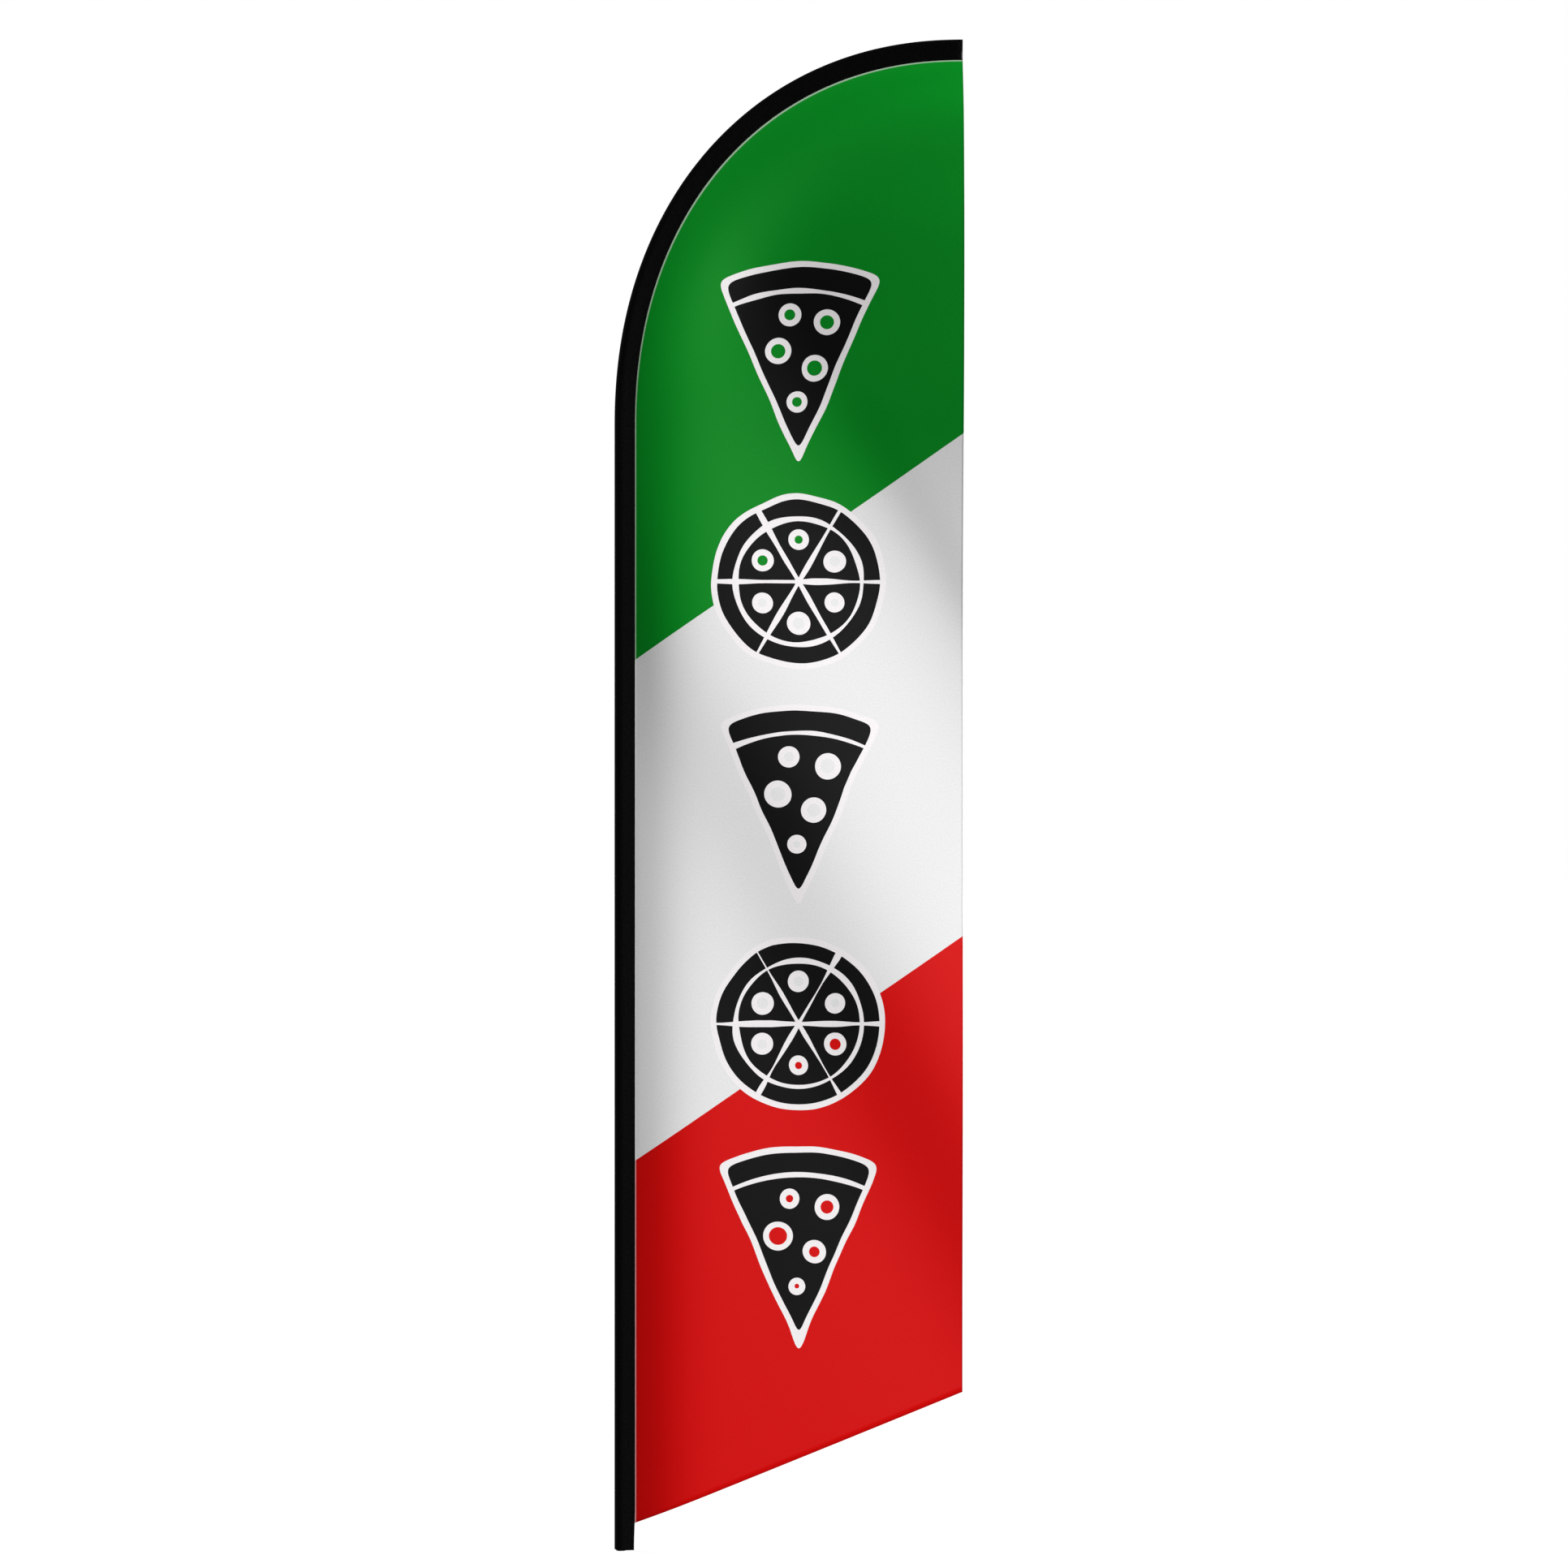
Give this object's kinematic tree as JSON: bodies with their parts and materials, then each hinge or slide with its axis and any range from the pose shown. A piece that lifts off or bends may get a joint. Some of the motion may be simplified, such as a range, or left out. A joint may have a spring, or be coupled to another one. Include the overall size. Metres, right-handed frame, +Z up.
{
  "type": "feather flag with pole",
  "caption": "Arched feather flag on a sectional pole: a printed cloth panel sewn to a black pole sleeve, turning on a spindle inside the foot.",
  "frame": {"origin": "centre of the spindle's foot, on the pole's axis", "axes": "+Z up along the pole, +X from the pole to the flag's free edge, -Y out of the printed front"},
  "size_m": [0.762, 0.1068, 3.3064],
  "materials": {
    "plated_steel": "zinc-plated steel, satin",
    "nylon": "moulded black nylon",
    "bronze": "sintered bearing bronze, dull",
    "tube": "clear-anodised drawn aluminium tube",
    "button": "nickel-plated, bright",
    "rod": "black pultruded glass fibre, semi-gloss",
    "brass": "plain brass, lightly polished",
    "rubber": "black rubber, matt",
    "sleeve_cloth": "black woven polyester with a soft sheen",
    "webbing": "black polyester webbing",
    "printed_cloth": "knitted polyester printed in green, white and red bands with black motifs"
  },
  "bodies": {
    "spindle": {"spindle_hub": "plated_steel", "spindle_shaft": "plated_steel", "thrust_washer": "nylon", "retaining_ring": "plated_steel"},
    "pole": {"foot_cap": "nylon", "lower_bush": "bronze", "upper_bush": "nylon", "pole_lower_tube": "tube", "pole_middle_tube": "tube", "pole_upper_tube": "tube", "lower_button_spring": "plated_steel", "upper_button_spring": "plated_steel", "rod_adapter": "nylon", "rod_lower": "rod", "rod_ferrule": "brass", "rod_tip": "rod", "tip_cap": "rubber", "sleeve_cuff": "sleeve_cloth", "sleeve_straight": "sleeve_cloth", "sleeve_arch": "sleeve_cloth", "tip_patch": "webbing", "flag_panel": "printed_cloth", "tension_tab": "webbing", "tab_eyelet": "brass"},
    "lower_button": {"lower_snap_button": "button"},
    "upper_button": {"upper_snap_button": "button"}
  },
  "joints": [
    {"name": "pole_spin", "type": "hinge", "parent": "spindle", "child": "pole", "pos_m": [0, 0, 0], "axis": [0, 0, 1], "continuous": true},
    {"name": "lower_button_press", "type": "slide", "parent": "pole", "child": "lower_button", "axis": [1, 0, 0], "range_m": [-0.0045, 0], "stiffness_N_per_m": 1500, "springref_m": 0.004, "deforming": ["lower_button_spring"]},
    {"name": "upper_button_press", "type": "slide", "parent": "pole", "child": "upper_button", "axis": [1, 0, 0], "range_m": [-0.0045, 0], "stiffness_N_per_m": 1500, "springref_m": 0.004, "deforming": ["upper_button_spring"]}
  ]
}
